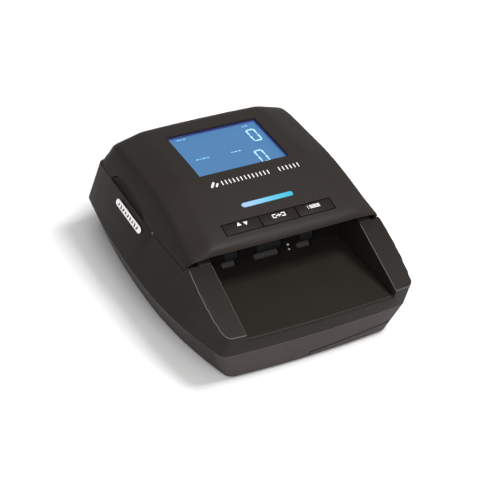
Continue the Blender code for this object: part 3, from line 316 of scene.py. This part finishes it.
# ------------------------------------------------------------------ feed tray
# The bed the note slides on is a separate flat moulding with a smoother, faintly streaked
# surface, because the notes polish it in the direction they travel.
tray_black = Finish("tray_black", Specular_IOR_Level=0.08)
tray_streaks = tray_black.noise(900.0, 3.0, 0.5, (1.0, 0.05, 1.0))
tray_drift = tray_black.noise(45.0, 2.0)
tray_tone = tray_drift * 0.6 + tray_streaks * 0.4
tray_black.feed("Base Color", tray_black.blend(tray_tone, (0.0130, 0.0112, 0.0086),
                                               (0.0170, 0.0148, 0.0114)))
tray_black.feed("Roughness", tray_streaks * 0.08 + tray_drift * 0.1 + 0.48)
tray_black.bump(tray_streaks, 0.00001)
softened("tray_floor", "note_bed", 0.0003, tray_black.material)

# ------------------------------------------------------------------ note path
# The upper guide is a satin moulding under the cover, painted near black: its tone is partly
# painted shade of the mouth.  In its mouth black pinch rollers press on ground grey rubber driven
# rollers, each line of them on a plain steel shaft.
guide_black_and_shade = moulded("guide_black_and_shade", (0.0060, 0.0052, 0.0050), (0.0095, 0.0085, 0.0080), 0.6,
                     0.00002)
softened("upper_guide", "upper_path_plate", 0.0003, guide_black_and_shade)


def ground_rubber(name, dark, light):
    """Rubber ground on a lathe: fine rings round the roller, and a little dust."""
    finish = Finish(name, Specular_IOR_Level=0.3)
    rings = finish.noise(1500.0, 2.0, 0.6, (1.0, 0.02, 0.02))
    dust = finish.noise(260.0, 3.0)
    finish.feed("Base Color", finish.blend(rings * 0.5 + dust * 0.5, dark, light))
    finish.feed("Roughness", dust * 0.12 + 0.72)
    finish.bump(rings, 0.00003)
    return finish.material


grey_rubber = ground_rubber("grey_rubber", (0.030, 0.028, 0.028), (0.060, 0.056, 0.056))
black_rubber = ground_rubber("black_rubber", (0.003, 0.0028, 0.0028), (0.007, 0.0065, 0.0065))
for node in sorted(frame["nodes"]):
    if "drive_roller" in node:
        softened(node + "_tyre", node, 0.0003, grey_rubber)
    elif "pinch_roller" in node:
        softened(node + "_tyre", node, 0.0003, black_rubber)
    elif node.startswith("rubber_foot"):
        softened(node + "_pad", node, 0.0003, black_rubber)


def turned_metal(name, colour, roughness):
    """Metal off a lathe: fine bright rings, and a sheen that varies with them."""
    finish = Finish(name, Metallic=1.0)
    lines = finish.noise(2400.0, 2.0, 0.6, (1.0, 0.03, 0.03))
    finish.feed("Base Color", finish.blend(lines, tuple(part * 0.82 for part in colour), colour))
    finish.feed("Roughness", lines * 0.14 + roughness)
    finish.bump(lines, 0.00001)
    return finish.material


steel = turned_metal("steel", (0.58, 0.58, 0.6), 0.24)
brass = turned_metal("brass", (0.75, 0.58, 0.28), 0.26)

# Two sensor lenses look at each other across the mouth, and dark strips of glass cover the
# sensor boards above and below the path.  The lenses glow faintly: a painted glint on their glass.
bead_glass_painted_glint = Finish("sensor_bead_painted_glint", Roughness=0.15, Emission_Color=(0.75, 0.7, 0.66),
                    Emission_Strength=0.12)
bead_haze = bead_glass_painted_glint.noise(900.0)
bead_glass_painted_glint.feed("Base Color", bead_glass_painted_glint.blend(bead_haze, (0.35, 0.33, 0.3), (0.5, 0.48, 0.45)))
bead("feed_sensor_upper", (0.0128, -0.0187, 0.0332), (0, -1, 0), 0.0007, bead_glass_painted_glint.material,
     "cover")
bead("feed_sensor_lower", (0.0141, -0.0190, 0.0297), (0, 0, 1), 0.0006, bead_glass_painted_glint.material,
     "base")

sensor_glass = Finish("sensor_glass", Specular_IOR_Level=0.5)
glass_smear = sensor_glass.noise(120.0, 3.0)
sensor_glass.feed("Base Color", sensor_glass.blend(glass_smear, (0.012, 0.004, 0.018),
                                                   (0.02, 0.008, 0.03)))
sensor_glass.feed("Roughness", glass_smear * 0.1 + 0.05)
for node in ("bed_sensor_window", "upper_sensor_window"):
    softened(node + "_pane", node, 0.0002, sensor_glass.material)

# ------------------------------------------------------------------ top cover
# The cover is a thin black moulding with a flat crown, a soft crease along each side and a
# steep cheek below it.  It lifts on two knuckles at the rear.
cover_black = moulded("cover_black", (0.0190, 0.0156, 0.0134), (0.0250, 0.0210, 0.0184), 0.42)
softened("cover_shell", "top_cover", 0.00035, cover_black, 38.0)

# ------------------------------------------------------------------ display
# A backlit liquid crystal panel lies under a clear window.  Its digits and captions are lit cells
# in the glass.
# A brighter cyan strip along the panel's left edge is a painted glint, and the window's side faces
# glow dim violet in place of the shaded wall of the recess.
window_low, window_high = (Vector(corner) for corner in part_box("display_window"))
window_middle = (window_low + window_high) / 2
cell_level = window_low.z - 0.0006
cell_thick = 0.0001

panel_blue = Finish("panel_blue", Roughness=0.35, Base_Color=(0.01, 0.02, 0.04),
                    Specular_IOR_Level=0.1, Emission_Strength=0.9)
across, back = panel_blue.along(0), panel_blue.along(1) - window_middle.y
panel_mottle = panel_blue.noise(60.0, 2.0)
middle_glow = 1 - (across * across / 0.0011 + back * back / 0.0006) * 0.5
# Painted glint: a brighter cyan strip along the panel's left edge.
painted_edge_glint = (across < -0.0262) * 0.9
panel_tone = panel_blue.blend(middle_glow * 0.55 + panel_mottle * 0.45,
                              (0.075, 0.30, 0.60), (0.105, 0.255, 0.52))
panel_blue.feed("Emission Color", panel_blue.blend(painted_edge_glint, panel_tone, (0.14, 0.48, 0.78)))
softened("display_panel", "display_module", 0.0002, panel_blue.material)

# Painted shade: the window's side faces glow dim violet in place of the shaded recess wall.
rim_violet_painted_glow = Finish("rim_violet_painted_glow", Roughness=0.3, Emission_Strength=1.0)
rim_haze = rim_violet_painted_glow.noise(300.0)
rim_violet_painted_glow.feed("Base Color", rim_violet_painted_glow.blend(rim_haze, (0.01, 0.01, 0.05), (0.02, 0.015, 0.08)))
rim_violet_painted_glow.feed("Emission Color", rim_violet_painted_glow.blend(rim_haze, (0.018, 0.014, 0.10),
                                                   (0.03, 0.03, 0.17)))
clear_pane = Finish("clear_pane", Roughness=0.22, Specular_IOR_Level=0.3, Alpha=0.08)
pane_haze = clear_pane.noise(40.0)
clear_pane.feed("Base Color", clear_pane.blend(pane_haze, (0.03, 0.05, 0.08), (0.05, 0.07, 0.11)))

pane_bm = bmesh.new()
bmesh.ops.create_cube(pane_bm, size=1.0)
bmesh.ops.scale(pane_bm, vec=window_high - window_low, verts=pane_bm.verts)
bmesh.ops.translate(pane_bm, vec=window_middle, verts=pane_bm.verts)
rolled_faces(pane_bm, pane_bm.edges[:], 0.0003, 2)
for face in pane_bm.faces:
    face.material_index = 0 if abs(face.normal.z) > 0.5 else 1
pane = shown("display_pane", pane_bm, clear_pane.material, "cover")
pane.data.materials.append(rim_violet_painted_glow.material)
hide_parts("display_window")


def mark(bm, centre, length, width, turn=0.0, corners=14):
    """A flat bar with round or pointed ends, drawn in the XY plane."""
    made = bmesh.ops.create_circle(bm, cap_ends=True, segments=corners, radius=width / 2)["verts"]
    for vert in made:
        vert.co.x += math.copysign(max(length - width, 0.0) / 2, vert.co.x)
    place = Matrix.Translation((*centre, 0.0)) @ Matrix.Rotation(turn, 4, 'Z')
    bmesh.ops.transform(bm, matrix=place, verts=made)


def digit_zero(bm, left, low, wide, tall, stroke):
    """The six outer cells of a seven-cell zero."""
    gap = stroke * 0.35
    for x in (left, left + wide):
        for share in (0.25, 0.75):
            mark(bm, (x, low + tall * share), tall / 2 - gap, stroke, math.pi / 2, 6)
    for y in (low, low + tall):
        mark(bm, (left + wide / 2, y), wide - gap, stroke, 0.0, 6)


def thick_sheet(bm, level, thick):
    """Gives flat marks a thickness, from `level` upwards."""
    bmesh.ops.translate(bm, vec=(0, 0, level), verts=bm.verts)
    grown = bmesh.ops.extrude_face_region(bm, geom=bm.faces[:])["geom"]
    raised = [part for part in grown if isinstance(part, bmesh.types.BMVert)]
    bmesh.ops.translate(bm, vec=(0, 0, thick), verts=raised)
    bmesh.ops.recalc_face_normals(bm, faces=bm.faces)


def lit_cell(name, body_colour, dim, bright):
    """A lit cell of the glass, a little uneven across its width."""
    finish = Finish(name, Roughness=0.4, Base_Color=body_colour, Emission_Strength=1.0)
    finish.feed("Emission Color", finish.blend(finish.noise(500.0), dim, bright))
    return finish.material


cell_white = lit_cell("cell_white", (0.3, 0.5, 0.6), (0.28, 0.56, 0.80), (0.40, 0.70, 0.90))
cell_faint = lit_cell("cell_faint", (0.2, 0.4, 0.6), (0.10, 0.33, 0.62), (0.15, 0.40, 0.68))

digits_bm = bmesh.new()
digit_zero(digits_bm, 0.0198, 0.0366, 0.0049, 0.0101, 0.00115)
digit_zero(digits_bm, 0.0140, 0.0182, 0.0047, 0.0101, 0.00105)
thick_sheet(digits_bm, cell_level, cell_thick)
shown("display_digits", digits_bm, cell_white, "cover")

caption_gap, caption_tall = 0.0005, 0.0008
captions_bm = bmesh.new()
for x, y, lengths in ((-0.0226, 0.0512, (0.0016, 0.0011, 0.0020)),
                      (-0.0213, 0.0321, (0.0018, 0.0012, 0.0026, 0.0015)),
                      (0.0012, 0.0316, (0.0014, 0.0022, 0.0017)),
                      (0.0196, 0.0505, (0.0012, 0.0019))):
    for length in lengths:
        mark(captions_bm, (x + length / 2, y), length, caption_tall)
        x += length + caption_gap
thick_sheet(captions_bm, cell_level, cell_thick)
shown("display_captions", captions_bm, cell_faint, "cover")

# ------------------------------------------------------------------ light bar
# A frosted acrylic light guide set flush in the cover.  The lamp at its left end is paler, and
# the colour deepens to cyan towards the right.
bar_low, bar_high = (Vector(corner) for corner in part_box("light_bar"))
bar_glow = Finish("bar_glow", Roughness=0.4, Base_Color=(0.02, 0.04, 0.06),
                  Specular_IOR_Level=0.15, Emission_Strength=1.0)
run = (bar_glow.along(0) - bar_low.x) / (bar_high.x - bar_low.x)
frost = bar_glow.noise(420.0, 2.0)
left_part = bar_glow.blend(run * 1.6 + frost * 0.2, (0.42, 0.60, 0.95), (0.20, 0.62, 0.90))
bar_glow.feed("Emission Color", bar_glow.blend(run * 1.5 - 0.45 + frost * 0.15, left_part,
                                               (0.03, 0.48, 0.66)))
softened("light_bar_guide", "light_bar", 0.0003, bar_glow.material)

# ------------------------------------------------------------------ keys and printing
# Three keys lie flush in one slot, each with a white pad-printed sign.  The same white ink
# makes the row of plain ticks above the light bar.
key_black = moulded("key_black", (0.0110, 0.0083, 0.0075), (0.0150, 0.0116, 0.0107), 0.5)
for node in ("key_arrows", "key_note", "key_menu"):
    softened(node + "_cap", node, 0.00025, key_black)

ink = Finish("white_ink", Roughness=0.5, Specular_IOR_Level=0.3)
ink.feed("Base Color", ink.blend(ink.noise(1500.0, 3.0), (0.62, 0.62, 0.62), (0.8, 0.8, 0.8)))


def printed(name, bm, node, material, origin, turn):
    """Lays flat marks on a node: they are carried to `origin`, turned, and pressed on to it."""
    ink_thick, reach = 0.00006, 0.01
    ground = node_bmesh(node)
    tree = BVHTree.FromBMesh(ground)
    ground.free()
    thick_sheet(bm, 0.0, ink_thick)
    carried = Matrix.Translation(origin) @ turn.to_4x4()
    outward = turn @ Vector((0, 0, 1))
    for vert in bm.verts:
        height = vert.co.z
        spot = carried @ Vector((vert.co.x, vert.co.y, 0.0))
        hit = tree.ray_cast(spot + outward * reach, -outward)[0]
        vert.co = (hit or spot) + outward * (height - ink_thick * 0.2)
    shown(name, bm, material, body_of(node))


key_slope = math.radians(13.5)
key_turn = Matrix.Rotation(key_slope, 3, 'X')
key_place = Vector((0.0, -0.0212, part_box("key_note")[1][2]))

arrow_apart, arrow_radius = 0.0021, 0.0016
arrows_bm = bmesh.new()
for x, turn in ((-arrow_apart, 0.0), (arrow_apart, math.pi)):
    corners = bmesh.ops.create_circle(arrows_bm, cap_ends=True, segments=3,
                                      radius=arrow_radius)["verts"]
    bmesh.ops.rotate(arrows_bm, verts=corners, cent=(0, 0, 0), matrix=Matrix.Rotation(turn, 3, 'Z'))
    bmesh.ops.translate(arrows_bm, verts=corners, vec=(x, 0.0, 0.0))
printed("arrow_signs", arrows_bm, "key_arrows", ink.material,
        key_place + Vector((-0.0226, 0.0006, 0.0)), key_turn)

note_bm = bmesh.new()
for side in (-1, 1):
    mark(note_bm, (side * 0.0038, 0.0), 0.0026, 0.0006, math.pi / 2)
    mark(note_bm, (side * 0.0028, -0.0010), 0.0024, 0.0006)
    mark(note_bm, (side * 0.0028, 0.0010), 0.0024, 0.0006)
mark(note_bm, (0.0, 0.0), 0.0034, 0.0007)
mark(note_bm, (0.0, 0.0), 0.0022, 0.0005, math.pi / 2)
printed("note_sign", note_bm, "key_note", ink.material,
        key_place + Vector((0.0003, 0.0, 0.0)), key_turn)

menu_bm = bmesh.new()
for level in (-0.0008, 0.0, 0.0008):
    mark(menu_bm, (-0.0036, level), 0.0006, 0.0005)
    mark(menu_bm, (0.0007, level), 0.0066, 0.0005)
printed("menu_sign", menu_bm, "key_menu", ink.material,
        key_place + Vector((0.0228, 0.0, 0.0)), key_turn)

slant, tick_pitch, ticks_left_out = math.radians(48), 0.00245, (13, 14)
stripe_bm = bmesh.new()
mark(stripe_bm, (-0.0249, 0.0002), 0.0044, 0.0013, slant)
mark(stripe_bm, (-0.0226, -0.0006), 0.0030, 0.0011, slant)
for step in range(21):
    if step not in ticks_left_out:
        mark(stripe_bm, (-0.0190 + step * tick_pitch, 0.0), 0.0030, 0.00065, math.pi / 2)
printed("cover_stripe", stripe_bm, "top_cover", ink.material,
        (0.0, 0.0078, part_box("top_cover")[1][2]), Matrix.Identity(3))

# ------------------------------------------------------------------ side badge
# A white pill-shaped plastic label is stuck to the left side of the housing.  A row of plain
# dark ticks is printed on its face.
badge_white = Finish("badge_white", Roughness=0.35, Specular_IOR_Level=0.4)
badge_white.feed("Base Color", badge_white.blend(badge_white.noise(300.0, 3.0),
                                                 (0.93, 0.93, 0.93), (0.99, 0.99, 0.99)))
softened("badge_label", "side_badge", 0.0002, badge_white.material)
badge_ink = Finish("badge_ink", Roughness=0.5)
badge_ink.feed("Base Color", badge_ink.blend(badge_ink.noise(1200.0), (0.03, 0.03, 0.03),
                                             (0.06, 0.055, 0.055)))
badge_low, badge_high = (Vector(corner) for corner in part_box("side_badge"))
badge_middle = (badge_low + badge_high) / 2
badge_pitch, badge_slant = 0.0027, math.radians(60)
ticks_bm = bmesh.new()
for step in range(9):
    mark(ticks_bm, ((step - 4) * badge_pitch, 0.0), 0.0024 if step % 3 else 0.0018, 0.0012,
         math.pi / 2 if step % 2 else badge_slant)
badge_turn = Matrix(((0, 0, -1), (-1, 0, 0), (0, 1, 0)))
printed("badge_ticks", ticks_bm, "side_badge", badge_ink.material,
        Vector((badge_low.x, badge_middle.y, badge_middle.z)), badge_turn)

# ------------------------------------------------------------------ rear panel
# A small satin plate holds the supply socket, a data port and the rocker switch.  Nothing of it
# is seen from the front.
panel_black = moulded("panel_black", (0.006, 0.0056, 0.0056), (0.010, 0.0094, 0.0092), 0.42,
                      0.00001)
for node in ("connector_panel", "dc_inlet", "power_rocker"):
    softened(node + "_moulding", node, 0.00025, panel_black)
softened("data_port_shell", "data_port", 0.00015, steel)
rocker_low, rocker_high = (Vector(corner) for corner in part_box("power_rocker"))
rocker_middle = (rocker_low + rocker_high) / 2
sign_off_centre, ring_radius = 0.0019, 0.0009
rocker_bm = bmesh.new()
mark(rocker_bm, (0.0, -sign_off_centre), 0.0018, 0.0004, math.pi / 2)
for turn in range(8):
    angle = turn * math.pi / 4
    spot = (ring_radius * math.cos(angle), sign_off_centre + ring_radius * math.sin(angle))
    mark(rocker_bm, spot, 0.0009, 0.0003, angle + math.pi / 2)
printed("rocker_signs", rocker_bm, "power_rocker", ink.material,
        Vector((rocker_middle.x, rocker_high.y, rocker_middle.z)),
        Matrix(((-1, 0, 0), (0, 0, 1), (0, 1, 0))))

# ------------------------------------------------------------------ underside and inner works
# The sheet under the case is a flat satin plate held by four screws.  Inside are the
# battery, the circuit boards and a small geared motor that turns both driven shafts by a belt.
softened("bottom_sheet", "bottom_plate", 0.0003, panel_black)

nylon = Finish("nylon", Roughness=0.45)
nylon.feed("Base Color", nylon.blend(nylon.noise(200.0, 3.0), (0.62, 0.60, 0.54),
                                     (0.74, 0.72, 0.66)))
nylon.bump(nylon.noise(2500.0), 0.00001)

board_green = Finish("board_green", Roughness=0.4, Coat_Weight=0.3)
tracks = board_green.noise(700.0, 1.0, 0.4, (1.0, 0.2, 1.0)) > 0.56
board_green.feed("Base Color", board_green.blend(tracks * 0.7, (0.008, 0.06, 0.022),
                                                 (0.03, 0.13, 0.05)))
board_green.bump(tracks, 0.00002)

wrap_blue = Finish("wrap_blue", Roughness=0.3, Coat_Weight=0.4)
wrap_folds = wrap_blue.noise(120.0, 3.0, 0.6, (0.3, 1.0, 1.0))
wrap_blue.feed("Base Color", wrap_blue.blend(wrap_folds, (0.02, 0.05, 0.2), (0.04, 0.09, 0.3)))
wrap_blue.bump(wrap_folds, 0.0001)

green, blue, white = board_green.material, wrap_blue.material, nylon.material
inner_finish = {"main_board": green, "display_board": green, "key_board": green,
                "bed_sensor_board": green, "upper_sensor_board": green, "battery_pack": blue,
                "drive_belt": black_rubber, "drive_motor": steel, "magnetic_head": steel,
                "motor_pinion": brass, "drive_gear": white, "front_pulley": white,
                "rear_pulley": white}
for node in sorted(frame["nodes"]):
    if node.startswith("case_screw") or node.endswith("_shaft") or node.startswith("hinge_pin"):
        inner_finish[node] = steel
    elif "_bearing_" in node:
        inner_finish[node] = white
for node, material in inner_finish.items():
    softened(node + "_part", node, 0.0002, material)

# ------------------------------------------------------------------ the counter
# The detector stands on a plain pale laminate top, very slightly uneven in tone.  It is part of
# the setting and not of the detector.
counter_bm = bmesh.new()
bmesh.ops.create_grid(counter_bm, x_segments=1, y_segments=1, size=3.0)
counter_mesh = bpy.data.meshes.new("counter")
counter_bm.to_mesh(counter_mesh)
counter_bm.free()
counter = bpy.data.objects.new("counter", counter_mesh)
bpy.context.scene.collection.objects.link(counter)
laminate = Finish("laminate", Roughness=0.8, Specular_IOR_Level=0.2)
laminate.feed("Base Color", laminate.blend(laminate.noise(6.0), (0.86, 0.86, 0.86),
                                           (0.88, 0.88, 0.88)))
counter.data.materials.append(laminate.material)
